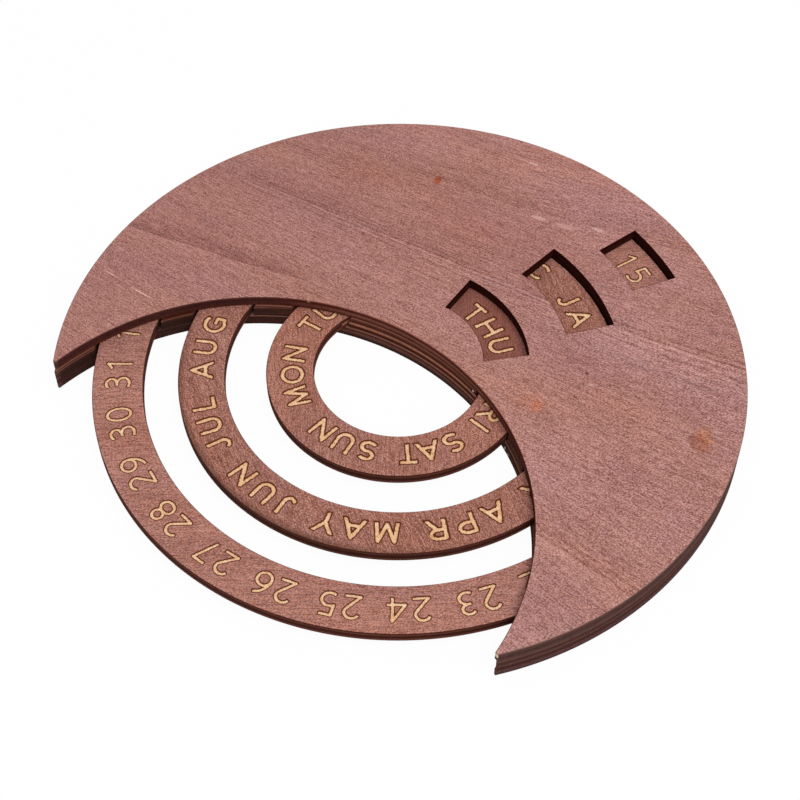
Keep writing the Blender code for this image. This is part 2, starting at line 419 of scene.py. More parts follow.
def scorchedWall(name):
    material, g = newMaterial(name)
    place, _ = placeOnDisc(g)
    soot = g.noise(place, 3.0, 3, 0.6)
    stops = [(0.2, (0.08, 0.015, 0.002)), (0.8, (0.22, 0.065, 0.016))]
    colour = g.ramp(soot * 0.5 + 0.5, stops)
    bump = {"Strength": 0.3, "Distance": 0.0001}
    finishMaterial(g, colour, 0.7 + soot * 0.06, soot, bump, 0.05)
    return material


faceLook = {
    "shift": 0, "wander": 2.5, "fan": 0.0, "vein": 0.3, "lightSlope": 0.0,
    "dark": (0.15, 0.06, 0.05), "light": (0.7, 0.41, 0.37),
    "speck": 1.85, "fibre": 1.0, "thread": 0.42, "streak": 0.2, "band": 0.16,
    "warm": (1.1, 0.96, 0.82), "cool": (0.93, 0.98, 1.1), "warmPatches": 1.2, "warmFlecks": 1.0,
    "pores": 0.35, "pore": (0.17, 0.065, 0.05),
    "charred": (0.102, 0.018, 0.002), "growthLines": [], "spots": [], "stains": [], "washes": [],
    "bump": {"Strength": 0.28, "Distance": 0.00012},
}
frontLook = faceLook | {
    # The slope along x is painted light, lighter towards the lamp
    "grainHeading": 27, "fan": 0.003, "wander": 1.6, "lightSlope": 0.0012,
    "colour": (0.39, 0.182, 0.154),
    "washes": [
        newWash((-24, 44), (46, 15), 32, (0.94, 0.85, 0.83)),
        newWash((-30, 69), (56, 20), 25, (1.08, 1.09, 1.13)),
        newWash((33, 60), (42, 15), 27, (1.14, 1.22, 1.27)),
        newWash((-68, 44), (18, 22), 30, (1.07, 1.07, 1.1)),
        newWash((-62, 20), (16, 16), 0, (0.95, 0.88, 0.85)),
        newWash((-64, -28), (34, 22), 27, (1.0, 0.95, 0.93)),
        newWash((22, 36), (20, 12), 33, (0.9, 0.87, 0.89)),
        newWash((54, 29), (26, 14), 27, (1.09, 1.09, 1.09)),
        newWash((78, -5), (20, 22), 0, (0.82, 0.81, 0.84)),
    ],
    "growthLines": [
        {"across": 35.2, "from": -68, "to": 72, "width": 9, "shade": 0.14,
         "glow": 0.2, "glowWidth": 3.0, "crease": 0.42, "creases": (0.0, 1.3, -1.2, -2.9)},
        {"across": -19.5, "from": 52, "to": 84, "width": -7, "shade": 0.12,
         "glow": 0.12, "glowWidth": 4.0, "crease": 0.45, "creases": (0.0, 1.6)},
        {"across": 18.3, "slope": 0.266, "from": -86, "to": -38, "width": 8, "shade": 0.28,
         "glow": 0.15, "glowWidth": 5.0, "crease": 0.25},
        {"across": 62.0, "slope": 0.02, "from": -40, "to": 60, "width": 12, "shade": 0.15,
         "glow": 0.05, "glowWidth": 4.0, "crease": 0.15},
    ],
    "stains": [
        newSpot((54.5, 52.4), (3.5, 2.3), -15, (1.04, 0.92, 0.71), 1.0, core=0.65, ragged=0.35),
        newSpot((55.5, 49.9), (3.8, 2.5), 5, (0.86, 0.69, 0.6), 1.0, core=0.6, ragged=0.35),
        newSpot((53.4, 49.4), (1.6, 2.0), 0, (0.82, 0.8, 0.86), 0.9),
        newSpot((26.6, 21.6), (5.0, 3.6), 40, (1.04, 0.96, 0.86), 0.9),
        newSpot((27.7, 22.3), (2.5, 1.6), -40, (1.13, 0.92, 0.7), 0.85),
        newSpot((-49.8, 38.2), (2.0, 1.3), -50, (0.9, 0.5, 0.3), 1.0, core=0.5),
        newSpot((-50.0, 39.9), (1.2, 0.7), 20, (0.74, 0.72, 0.8), 0.8),
    ],
    "spots": [
        newSpot((28.7, 37.0), (1.1, 0.4), 20, (0.66, 0.47, 0.45), 0.6),
        newSpot((25.1, 38.0), (0.7, 0.5), 0, (0.08, 0.03, 0.025), 0.85),
        newSpot((30.0, 31.6), (0.9, 0.35), 20, (0.08, 0.03, 0.025), 0.85),
        newSpot((-59.7, -51.0), (2.6, 0.2), 26, (0.85, 0.52, 0.4), 0.8),
        newSpot((-49.8, -46.6), (4.4, 0.22), 27, (0.85, 0.52, 0.4), 0.9),
        newSpot((-25.0, 54.6), (3.4, 0.9), 38, (0.78, 0.5, 0.45), 0.45),
        newSpot((-19.0, 59.1), (4.0, 1.0), 38, (0.75, 0.46, 0.41), 0.35),
        newSpot((-14.1, 66.0), (2.6, 0.8), 38, (0.78, 0.5, 0.45), 0.45),
        newSpot((-43.0, 63.8), (2.2, 0.5), 38, (0.8, 0.52, 0.46), 0.45),
        newSpot((-27.9, -10.6), (0.9, 0.35), 10, (0.54, 0.29, 0.24), 0.5),
    ],
}
# The ledges of the lower sheets are darker along the bite's edge
backLook = faceLook | {
    "grainHeading": 28, "shift": 60, "colour": (0.33, 0.155, 0.13),
    "edgeDarkening": {"centre": edgeLook["biteAt"], "from": 67.4, "to": 66.6, "drift": 0.2,
              "colour": (0.23, 0.094, 0.07), "strength": 0.9},
    "washes": [newWash((-42, -40), (14, 34), 10, (0.32, 0.32, 0.35))],
}
spacerLook = backLook | {
    "shift": 140, "colour": (0.24, 0.105, 0.08),
    "edgeDarkening": backLook["edgeDarkening"] | {"colour": (0.21, 0.08, 0.053), "strength": 0.95},
    "washes": [newWash((-42, -40), (14, 34), 10, (0.25, 0.11, 0.07))],
}
ringLook = faceLook | {
    "dark": (0.14, 0.05, 0.036), "light": (0.68, 0.37, 0.3),
    "streak": 0.22, "vein": 0.25, "warmFlecks": 2.2,
}
dateLook = ringLook | {
    "grainHeading": 62, "shift": 25, "colour": (0.375, 0.164, 0.13), "band": 0.28,
}
monthLook = ringLook | {
    "grainHeading": -5, "shift": -40, "colour": (0.305, 0.122, 0.088), "band": 0.2,
    "edgeDarkening": {"centre": (0, 0), "from": 51.5, "to": 54.2, "drift": 0.9, "heading": -80, "fade": 0.15,
              "colour": (0.085, 0.032, 0.016), "strength": 0.75},
}
weekLook = ringLook | {
    "grainHeading": -28, "shift": 90, "colour": (0.338, 0.136, 0.097), "band": 0.2,
    "growthLines": [{"across": 4.5, "from": 20, "to": 34, "width": 6, "shade": 0.2,
                     "glow": 0.35, "glowWidth": 5.0, "crease": 0.2}],
    # A dark patch where the THU window stands at rest: painted shade in the window's recess, which turns with
    # the ring
    "spots": [newSpot((0, 27), (19, 9), 0, (0.19, 0.055, 0.045), 0.6, core=0.8, ragged=0.2, grit=0.3)],
}

frontFace = stainedFace("front plate stain", frontLook)
backFace = stainedFace("back plate stain", backLook)
spacerFace = stainedFace("spacer stain", spacerLook)
dateFace = stainedFace("date ring stain", dateLook)
monthFace = stainedFace("month ring stain", monthLook)
weekFace = stainedFace("week ring stain", weekLook)
edgeFinish = charredEdge("charred ply edge", edgeLook)
floorFinish = engravedFloor("engraved bare wood", engravingLook)
dateFloor = engravedFloor("engraved bare wood, date", engravingLook | {"lift": 0.66})
scorchFinish = scorchedWall("scorched engraving wall")
print("finishes ready:", len(bpy.data.materials))


# Radii of a CAD node about the disc's centre, least and most
def radii(node):
    places = [vertex.co - discCentre for vertex in nodes[node].data.vertices]
    spans = [(place * Vector((1, 1, 0))).length for place in places]
    return min(spans), max(spans)


discRadius = radii("front_plate")[1]


# Flat outlines, in metres from the disc's centre, with the wood on the left of the way round
origin = Vector((0, 0))


def onCircle(radius, turn):
    return radius * Vector((math.cos(turn), math.sin(turn)))


def arc(centre, radius, start, end, spacing=1.0 * mm):
    steps = max(2, round(abs(end - start) * radius / spacing))
    turns = [start + (end - start) * step / steps for step in range(steps + 1)]
    return [centre + onCircle(radius, turn) for turn in turns]


def circle(radius, clockwise=False):
    loop = arc(origin, radius, 0, math.tau)[:-1]
    return loop[::-1] if clockwise else loop


# A window between two arcs, each with its radius in millimetres and the headings of its own left
# and right end, because the sides aren't quite radial
def windowLoop(window):
    outer, inner = [arc(origin, radius * mm, math.radians(left), math.radians(right))
                    for radius, left, right in window]
    return outer + inner[::-1]


# The sheets aren't stacked quite true: the lower ones reach further into the bite, and their
# points are less worn
cutLook = {"biteRadius": 65.95 * mm, "tipPoints": (), "tipRoughness": 0.0}
stackLook = {
    "front_plate": cutLook | {"biteOffset": 57.5 * mm, "biteHeading": -65.8, "tipWidth": 0.8 * mm,
                              "tipPoints": (0.35, 0.65), "tipRoughness": 0.055 * mm},
    "back_plate": cutLook | {"biteOffset": 58.45 * mm, "biteHeading": -65.45, "tipWidth": 0.42 * mm},
    "spacer": cutLook | {"biteOffset": 57.94 * mm, "biteHeading": -65.35, "tipWidth": 0.5 * mm},
}


# Half the turn that the bite takes out of a circle round the disc's centre, and the turn at the
# bite's own centre that leads to the same point
def biteTurns(radius, look):
    bite, offset = look["biteRadius"], look["biteOffset"]
    turn = math.acos((radius**2 + offset**2 - bite**2) / (2 * radius * offset))
    return turn, math.atan2(radius * math.sin(turn), radius * math.cos(turn) - offset)


# A sheet between two circles with the bite taken out. Points at the disc's edge break off short.
def bittenLoop(inner, outer, look, seed):
    chance = random.Random(seed)
    bite, heading = look["biteRadius"], math.radians(look["biteHeading"])
    biteCentre = onCircle(look["biteOffset"], heading)
    turn, biteTurn = biteTurns(outer, look)
    short = 0.0
    if outer == discRadius:
        short = look["tipWidth"] / 2 / math.sin((biteTurn - turn) / 2)
    rim = arc(origin, outer, heading + turn + short / outer, heading - turn - short / outer + math.tau)
    first = heading - biteTurn - short / bite
    last = heading + biteTurn + short / bite - math.tau
    if inner:
        innerTurn, innerBite = biteTurns(inner, look)
        down = arc(biteCentre, bite, first, heading - innerBite)
        back = arc(origin, inner, heading - innerTurn + math.tau, heading + innerTurn)
        up = arc(biteCentre, bite, heading + innerBite, last + math.tau)
        hollow = down + back[1:-1] + up
    else:
        hollow = arc(biteCentre, bite, first, last)
    if not short:
        return rim + hollow[1:-1]

    def brokenTip(start, end):
        rough = look["tipRoughness"]
        way = (end - start).normalized()
        return [start.lerp(end, share) + Vector((way.y, -way.x)) * chance.uniform(-rough, rough)
                for share in look["tipPoints"]]

    return rim + brokenTip(rim[-1], hollow[0]) + hollow + brokenTip(hollow[-1], rim[0])


# Each item of a closed round with the one after it
def sidesOf(loop):
    return list(zip(loop, loop[1:] + loop[:1]))


# Mesh edges along loops whose points follow each other in one list
def loopEdges(loops):
    edges, first = [], 0
    for loop in loops:
        edges += sidesOf(list(range(first, first + len(loop))))
        first += len(loop)
    return edges


# Loose edges along the loops. Each point keeps its place and the mitre that leads off the wood.
def outlineMesh(name, loops, mitreLimit=2.6):
    points, away = [], []
    for loop in loops:
        for index, point in enumerate(loop):
            before, after = loop[index - 1], loop[(index + 1) % len(loop)]
            into, out = (point - before).normalized(), (after - point).normalized()
            sides = [Vector((way.y, -way.x)) for way in (into, out)]
            mitre = (sides[0] + sides[1]) / max(1 + sides[0].dot(sides[1]), 0.1)
            if mitre.length > mitreLimit:
                mitre = mitre.normalized() * mitreLimit
            points.append(point.to_3d() + discCentre)
            away.append(mitre.to_3d())
    mesh = bpy.data.meshes.new(name)
    mesh.from_pydata(points, loopEdges(loops), [])
    for attribute, values in (("flat", points), ("away", away)):
        layer = mesh.attributes.new(attribute, "FLOAT_VECTOR", "POINT")
        layer.data.foreach_set("vector", [number for value in values for number in value])
    return mesh


# Lettering: each character is its width and its strokes, as shares of the height of a capital
def bow(x, y, wide, high, start=0, end=360):
    steps = max(4, round(abs(end - start) / 15))
    turns = [math.radians(start + (end - start) * step / steps) for step in range(steps + 1)]
    return [(x + wide * math.cos(turn), y + high * math.sin(turn)) for turn in turns]


characterStrokes = {
    "0": [bow(0.28, 0.5, 0.28, 0.5)],
    "1": [[(0.0, 0.79), (0.25, 1), (0.25, 0)]],
    "2": [bow(0.25, 0.73, 0.26, 0.27, 158, -38) + [(0.0, 0.0), (0.57, 0.0)]],
    "3": [bow(0.24, 0.77, 0.23, 0.23, 150, -90) + [(0.12, 0.54)], bow(0.22, 0.27, 0.28, 0.27, 90, -132)],
    "4": [[(0.46, 0), (0.46, 1), (0.0, 0.26), (0.66, 0.26)]],
    "5": [[(0.46, 1), (0.03, 1), (0.01, 0.54)] + bow(0.19, 0.3, 0.29, 0.3, 122, -130)],
    "6": [bow(0.56, 0.34, 0.56, 0.66, 102, 180), bow(0.27, 0.3, 0.27, 0.3)],
    "7": [[(-0.04, 1), (0.47, 1), (0.13, 0)]],
    "8": [bow(0.28, 0.765, 0.2, 0.235), bow(0.28, 0.265, 0.28, 0.265)],
    "9": [bow(-0.02, 0.66, 0.56, 0.66, -78, 0), bow(0.27, 0.7, 0.27, 0.3)],
    "A": [[(0, 0), (0.375, 1), (0.75, 0)], [(0.13, 0.3), (0.62, 0.3)]],
    "B": [[(0, 0), (0, 1)] + bow(0.32, 0.77, 0.26, 0.23, 90, -90) + [(0, 0.54)],
          [(0.1, 0.54)] + bow(0.35, 0.27, 0.31, 0.27, 90, -90) + [(0, 0)]],
    "C": [bow(0.42, 0.5, 0.42, 0.5, 42, 318)],
    "D": [[(0, 0), (0, 1)] + bow(0.3, 0.5, 0.47, 0.5, 90, -90) + [(0, 0)]],
    "E": [[(0.64, 1), (0, 1), (0, 0), (0.64, 0)], [(0, 0.52), (0.58, 0.52)]],
    "F": [[(0.6, 1), (0, 1), (0, 0)], [(0, 0.5), (0.55, 0.5)]],
    "G": [bow(0.43, 0.5, 0.43, 0.5, 45, 296) + [(0.76, 0.1), (0.76, 0.47), (0.42, 0.47)]],
    "H": [[(0, 0), (0, 1)], [(0.68, 0), (0.68, 1)], [(0, 0.52), (0.68, 0.52)]],
    "I": [[(0, 0), (0, 1)]],
    "J": [[(0.43, 1), (0.43, 0.26)] + bow(0.215, 0.26, 0.215, 0.26, 0, -158)],
    "L": [[(0, 1), (0, 0), (0.58, 0)]],
    "M": [[(0, 0), (0.09, 1), (0.42, 0.0), (0.75, 1), (0.84, 0)]],
    "N": [[(0, 0), (0, 1), (0.68, 0), (0.68, 1)]],
    "O": [bow(0.42, 0.5, 0.42, 0.5)],
    "P": [[(0, 0), (0, 1)] + bow(0.31, 0.72, 0.3, 0.28, 90, -90) + [(0, 0.44)]],
    "R": [[(0, 0), (0, 1)] + bow(0.32, 0.745, 0.27, 0.255, 90, -90) + [(0, 0.49)], [(0.32, 0.49), (0.64, 0)]],
    "S": [bow(0.31, 0.755, 0.27, 0.245, 32, 250) + bow(0.3, 0.265, 0.3, 0.265, 70, -146)],
    "T": [[(0, 1), (0.72, 1)], [(0.36, 1), (0.36, 0)]],
    "U": [[(0, 1)] + bow(0.315, 0.33, 0.315, 0.33, 180, 360) + [(0.63, 1)]],
    "V": [[(0, 1), (0.37, 0), (0.74, 1)]],
    "W": [[(0, 1), (0.3, 0), (0.585, 1), (0.87, 0), (1.17, 1)]],
    "Y": [[(0, 1), (0.33, 0.48), (0.66, 1)], [(0.33, 0.48), (0.33, 0)]],
}
# Room that a letter keeps at each side, in millimetres
usualSide = 0.35
letterSides = {"A": -0.05, "C": 0.1, "G": 0.3, "L": 0.3, "M": 0.1, "O": 0.1, "R": 0.1, "S": 0.4,
               "T": 0.25, "V": -0.2, "W": 0.0, "Y": -0.2}


# Flat pieces that cover the strokes of a character: a bar for each run, a disc at each corner.
# An end on the baseline or the cap line is cut off level with it, a rim width further out.
def strokePieces(character, pen, grow, cornerSteps=16):
    size, half = pen["height"], pen["stroke"] / 2 + grow
    pieces = []
    for stroke in characterStrokes[character]:
        points = [Vector((x * size, (y - 0.5) * (size - pen["stroke"]))) for x, y in stroke]
        closed = (points[0] - points[-1]).length < 1e-6
        for first, last in zip(points, points[1:]):
            way = (last - first).normalized()
            side = Vector((-way.y, way.x)) * half
            corners = [first - side, last - side, last + side, first + side]
            for end, beyond, pair in ((first, -way, (0, 3)), (last, way, (1, 2))):
                if closed or end not in (points[0], points[-1]):
                    continue
                level = math.copysign(size / 2 + grow, end.y)
                onLine = abs(abs(end.y) - (size - pen["stroke"]) / 2) < 1e-6 and abs(beyond.y) > 0.5
                for corner in pair:
                    reach = (level - corners[corner].y) / beyond.y if onLine else grow
                    corners[corner] = corners[corner] + beyond * reach
            pieces.append(corners)
        for point in points[1:] if closed else points[1:-1]:
            turns = [math.tau * (step + 0.3) / cornerSteps for step in range(cornerSteps)]
            pieces.append([point + onCircle(half, turn) for turn in turns])
    return pieces


# The outline of everything that the flat pieces cover, as closed loops
def unionLoops(pieces, tolerance=1e-5):
    points, faces = [], []
    for piece in pieces:
        doubled = sum(a.x * b.y - b.x * a.y for a, b in sidesOf(piece))
        piece = piece if doubled > 0 else piece[::-1]
        faces.append(list(range(len(points), len(points) + len(piece))))
        points.extend(point / mm for point in piece)
    found, _, triangles, _, _, owners = delaunay_2d_cdt(points, [], faces, 1, tolerance)
    sides = set()
    for triangle, owner in zip(triangles, owners):
        if owner:
            sides.update(sidesOf(triangle))
    following = {a: b for a, b in sides if (b, a) not in sides}
    loops = []
    while following:
        start, point = following.popitem()
        loop = [found[start] * mm]
        while point != start:
            loop.append(found[point] * mm)
            point = following.pop(point)
        loops.append(loop)
    return [loop for loop in loops if len(loop) > 2]


def crossesItself(loop):
    sides = sidesOf(loop)
    return any(intersect_line_line_2d(*side, *other) for number, side in enumerate(sides)
               for other in sides[number + 2: len(sides) - (number == 0)])


# The loop again with evenly spaced points, each a little off, as the laser leaves it. The shifts
# are weaker where the loop would cross itself.
def raggedLoop(loop, spacing, ragged, chance):
    lengths = [(b - a).length for a, b in sidesOf(loop)]
    count = max(6, round(sum(lengths) / spacing))
    step = sum(lengths) / count
    points, shifts, walked, index = [], [], 0.0, 0
    for number in range(count):
        while walked + lengths[index] < number * step:
            walked += lengths[index]
            index += 1
        share = (number * step - walked) / lengths[index]
        points.append(loop[index].lerp(loop[(index + 1) % len(loop)], share))
        shifts.append(Vector((chance.uniform(-ragged, ragged), chance.uniform(-ragged, ragged))))
    for strength in (1.0, 0.7, 0.4, 0.0):
        rough = [point + shift * strength for point, shift in zip(points, shifts)]
        if not crossesItself(rough):
            return rough


# One collection of mouths and one of burnt rims, with the characters in the same order in both,
# and the width of each character
def letterCollections(name, characters, pen):
    chance = random.Random(pen["seed"])
    collections, widths = [], {}
    for kind, grow, ragged in (("mouth", 0.0, pen["ragged"]), ("rim", pen["rim"], pen["ragged"] / 4)):
        collection = bpy.data.collections.new(name + " " + kind + "s")
        scene.collection.children.link(collection)
        for number, character in enumerate(characters):
            loops = unionLoops(strokePieces(character, pen, grow))
            spans = [point.x for loop in loops for point in loop]
            middle = Vector(((min(spans) + max(spans)) / 2, 0))
            widths.setdefault(character, max(spans) - min(spans))
            loops = [raggedLoop(loop, pen["spacing"], ragged, chance) for loop in loops]
            points = [(point - middle).to_3d() for loop in loops for point in loop]
            mesh = bpy.data.meshes.new(f"{name} {kind} {number:02d}")
            mesh.from_pydata(points, loopEdges(loops), [])
            collection.objects.link(bpy.data.objects.new(mesh.name, mesh))
        collections.append(collection)
    return collections, widths


# Labels round the ring, clockwise, with equal gaps but for what some labels have after them
def labelPoints(name, characters, widths, pen):
    radius = pen["radius"]

    def advance(character):
        if "pitch" in pen:
            return pen["pitch"]
        side = letterSides.get(character, usualSide) * mm
        return widths[character] + 2 * side + pen["tracking"]

    def kern(label, number):
        return pen["kerning"].get(label[number:number + 2], 0)

    runs = [sum(advance(character) + kern(label, number) for number, character in enumerate(label))
            + pen["gapAfter"].get(label, 0) for label in pen["labels"]]
    gap = (math.tau * radius - sum(runs)) / len(runs)
    starts = [sum(runs[:number]) + gap * number for number in range(len(runs))]
    first = pen["labels"].index(pen["anchor"])
    anchor = starts[first] + advance(pen["anchor"][0]) / 2
    points, turns, picks = [], [], []
    for start, label in zip(starts, pen["labels"]):
        walked = start - anchor
        for number, character in enumerate(label):
            place = walked + advance(character) / 2 + pen["nudge"].get(character, 0)
            heading = math.radians(pen["heading"]) - place / radius
            points.append(onCircle(radius, heading).to_3d() + discCentre)
            turns.append(heading - math.pi / 2)
            picks.append(characters.index(character))
            walked += advance(character) + kern(label, number)
    mesh = bpy.data.meshes.new(name + " places")
    mesh.from_pydata(points, [], [])
    mesh.attributes.new("turn", "FLOAT", "POINT").data.foreach_set("value", turns)
    mesh.attributes.new("pick", "INT", "POINT").data.foreach_set("value", picks)
    return newObject(name + " places", mesh)


# The tree that turns a flat outline into a sheet of three veneers, engraved or plain
def sheetTree(name, engraved):
    tree = bpy.data.node_groups.new(name, "GeometryNodeTree")
    g = Graph(tree)
    inputs = {"Outline": "Geometry", "Base": "Float", "Thickness": "Float", "Edge break": "Float",
              "Groove depth": "Float", "Groove width": "Float", "Face": "Material", "Edge": "Material"}
    if engraved:
        inputs |= {"Places": "Object", "Mouths": "Collection", "Rims": "Collection",
                   "Rim width": "Float", "Depth": "Float", "Scorch": "Material", "Floor": "Material"}
    for label, kind in inputs.items():
        tree.interface.new_socket(label, in_out="INPUT", socket_type="NodeSocket" + kind)
    tree.interface.new_socket("Sheet", in_out="OUTPUT", socket_type="NodeSocketGeometry")
    source = tree.nodes.new("NodeGroupInput")
    given = {label: Wire(g, source.outputs[label]) for label in inputs}
    base, thickness, edgeBreak = given["Base"], given["Thickness"], given["Edge break"]
    parts = ["Face", "Edge", "Scorch", "Floor"]  # as numbers on the faces, each with its material

    def geo(kind, sockets, settings=None, output=0):
        return g.add("GeometryNode" + kind, settings, sockets, output)

    def attribute(label, kind="FLOAT_VECTOR"):
        return geo("InputNamedAttribute", {"Name": label}, {"data_type": kind}, "Attribute")

    def mark(geometry, part):
        sockets = {"Geometry": geometry, "Name": "part", "Value": parts.index(part)}
        return geo("StoreNamedAttribute", sockets, {"data_type": "INT", "domain": "FACE"})

    def level(geometry, height, inset, selection=True):
        place = g.vector("SUBTRACT", attribute("flat"), g.scaled(attribute("away"), inset))
        place = g.vector("ADD", place, g.combine(0, 0, base + height))
        sockets = {"Geometry": geometry, "Position": place, "Selection": selection}
        return geo("SetPosition", sockets)

    def lift(geometry, height):
        sockets = {"Geometry": geometry, "Offset": g.combine(0, 0, height)}
        return geo("SetPosition", sockets)

    def filled(outlines, height):
        joined = geo("JoinGeometry", {0: outlines})
        curves = geo("MeshToCurve", {0: joined})
        return lift(geo("FillCurve", {0: curves}), height)

    # Walls, from the bottom up, with a groove at each glue line between the veneers
    wall = level(given["Outline"], 0.0, edgeBreak)
    steps = [(edgeBreak, 0.0)]
    for share in (1 / 3, 2 / 3):
        line, half = thickness * share, given["Groove width"] / 2
        steps += [(line - half, 0.0), (line, given["Groove depth"]), (line + half, 0.0)]
    steps += [(thickness - edgeBreak, 0.0), (thickness, edgeBreak)]
    selection = True
    for height, inset in steps:
        # Raised by any amount, then set to its own height
        sockets = {"Mesh": wall, "Selection": selection, "Offset": (0, 0, 0.1 * mm)}
        wall = geo("ExtrudeMesh", sockets, {"mode": "EDGES"})
        selection = Wire(g, wall.socket.node.outputs["Top"])
        wall = level(wall, height, inset, selection)

    inner = lift(level(given["Outline"], 0.0, edgeBreak), base * -1)
    top = base + thickness
    made = [mark(wall, "Edge"), mark(filled([inner], base), "Face")]
    if engraved:
        untouched = {"transform_space": "ORIGINAL"}
        places = geo("ObjectInfo", {"Object": given["Places"]}, untouched, "Geometry")

        def lettersFrom(collection):
            sockets = {"Collection": collection, "Separate Children": True, "Reset Children": True}
            children = geo("CollectionInfo", sockets, untouched)
            turn = g.combine(0, 0, attribute("turn", "FLOAT"))
            sockets = {"Points": places, "Instance": children, "Pick Instance": True,
                       "Instance Index": attribute("pick", "INT"), "Rotation": turn}
            placed = geo("InstanceOnPoints", sockets)
            return geo("RealizeInstances", {0: placed})

        mouths, rims = lettersFrom(given["Mouths"]), lettersFrom(given["Rims"])
        made.append(mark(filled([inner, rims], top), "Face"))
        # The burnt rim fades from the mouth outwards
        rim = filled([rims, mouths], top)
        raised = lift(mouths, top)
        near = geo("Proximity", {0: raised}, {"target_element": "EDGES"}, "Distance")
        burn = g.sum("SUBTRACT", 1.0, near / given["Rim width"], clamp=True)
        # Kept on the face corners, because the plain face shares the rim's points
        kept = {"data_type": "FLOAT", "domain": "CORNER"}
        rim = geo("StoreNamedAttribute", {"Geometry": rim, "Name": "burn", "Value": burn}, kept)
        made.append(mark(rim, "Face"))
        sockets = {"Mesh": raised, "Offset": g.combine(0, 0, given["Depth"] * -1)}
        sides = geo("ExtrudeMesh", sockets, {"mode": "EDGES"})
        made.append(mark(sides, "Scorch"))
        made.append(mark(filled([mouths], top - given["Depth"]), "Floor"))
    else:
        made.append(mark(filled([inner], top), "Face"))

    sheet = geo("JoinGeometry", {0: made})
    sheet = geo("RealizeInstances", {0: sheet})
    for label in [part for part in parts if part in given]:
        chosen = g.add("FunctionNodeCompare", {"data_type": "INT", "operation": "EQUAL"},
                       {2: attribute("part", "INT"), 3: parts.index(label)})
        sheet = geo("SetMaterial", {"Geometry": sheet, "Selection": chosen, "Material": given[label]})
    g.add("NodeGroupOutput", None, {0: sheet})
    return tree


plainTree = sheetTree("cut sheet", False)
engravedTree = sheetTree("cut and engraved sheet", True)


# Runs a tree on an outline and returns the plain, closed mesh as a finished piece
def makeSheet(name, outline, tree, values, seam=0.5e-6):
    draft = newObject(name + " outline", outline)
    modifier = draft.modifiers.new("sheet", "NODES")
    modifier.node_group = tree
    for item in tree.interface.items_tree:
        if item.in_out == "INPUT" and item.name in values:
            modifier[item.identifier] = values[item.name]
    graph = bpy.context.evaluated_depsgraph_get()
    mesh = bpy.data.meshes.new_from_object(draft.evaluated_get(graph), depsgraph=graph)
    mesh.name = name
    bpy.data.objects.remove(draft)
    shape = bmesh.new()
    shape.from_mesh(mesh)
    bmesh.ops.remove_doubles(shape, verts=shape.verts, dist=seam)
    bmesh.ops.recalc_face_normals(shape, faces=shape.faces)
    shape.to_mesh(mesh)
    shape.free()
    mesh.shade_smooth()
    mesh.set_sharp_from_angle(angle=math.radians(30))
    piece = newObject(name, mesh)
    print(name, len(mesh.polygons), "faces")
    return piece


def standFor(piece, node, body):
    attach(piece, body)
    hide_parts(node)


def heights(node):
    low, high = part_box(node)
    return low.z, high.z - low.z


# Plates
sheetLook = {
    "Edge break": 0.16 * mm, "Groove depth": 0.07 * mm, "Groove width": 0.22 * mm, "Edge": edgeFinish,
}
windowLook = {
    "week": ((31.7, 117.3, 64.8), (20.72, 117.5, 61.0)),
    "month": ((54.15, 104.65, 74.05), (42.05, 103.95, 73.1)),
    "date": ((74.7, 97.2, 83.0), (63.0, 97.05, 83.0)),
}
windows = [windowLoop(look) for look in windowLook.values()]
spacerRise = 0.28 * mm  # the glue that bonds a spacer to each plate

for node, face, holes, seed in (
    ("front_plate", frontFace, windows, 4), ("back_plate", backFace, [], 9),
    ("rim_spacer", spacerFace, [], 16), ("outer_spacer", spacerFace, [], 0),
    ("inner_spacer", spacerFace, [], 0), ("core_spacer", spacerFace, [], 0),
):
    base, thickness = heights(node)
    inner, outer = radii(node)
    plate = node.endswith("plate")
    if plate or node == "core_spacer":
        inner = 0
    if plate or node == "rim_spacer":
        outer = discRadius
    rise = 0.0 if plate else spacerRise
    loops = [bittenLoop(inner, outer, stackLook.get(node, stackLook["spacer"]), seed)] + holes
    values = sheetLook | {"Base": base - rise, "Thickness": thickness + 2 * rise, "Face": face}
    label = node.replace("plate", "sheet").replace("spacer", "band")
    piece = makeSheet(label, outlineMesh(node, loops), plainTree, values)
    standFor(piece, node, "crescent")
print("plates and spacers made")


# Rings
engraving = {
    "rim": 0.37 * mm, "floor": floorFinish, "spacing": 0.23 * mm, "depth": 0.22 * mm,
    "kerning": {}, "gapAfter": {}, "nudge": {}, "wider": 0,
}
datePen = engraving | {
    "rim": 0.27 * mm, "floor": dateFloor, "height": 6.35 * mm, "stroke": 0.72 * mm,
    "ragged": 0.065 * mm, "pitch": 5.6 * mm,
    "nudge": {"1": -0.38 * mm}, "seed": 15, "radius": 68.35 * mm,
    "labels": [str(day) for day in range(1, 32)], "anchor": "15", "heading": 93.1,
}
monthPen = engraving | {
    "height": 5.7 * mm, "stroke": 0.9 * mm, "ragged": 0.11 * mm, "tracking": 1.95 * mm,
    "seed": 8, "radius": 48.15 * mm, "kerning": {"AY": -0.75 * mm}, "gapAfter": {"DEC": 2.0 * mm},
    "labels": "JAN FEB MAR APR MAY JUN JUL AUG SEP OCT NOV DEC".split(),
    "anchor": "JAN", "heading": 89.6,
}
weekPen = engraving | {
    "height": 5.75 * mm, "stroke": 0.9 * mm, "ragged": 0.11 * mm, "tracking": 0.95 * mm,
    "seed": 5, "radius": 26.0 * mm, "kerning": {"AT": -1.05 * mm},
    "gapAfter": {"THU": 6.5 * mm, "SUN": 1.45 * mm}, "wider": 0.25 * mm,
    "labels": "MON TUE WED THU FRI SAT SUN".split(), "anchor": "THU", "heading": 105.2,
}

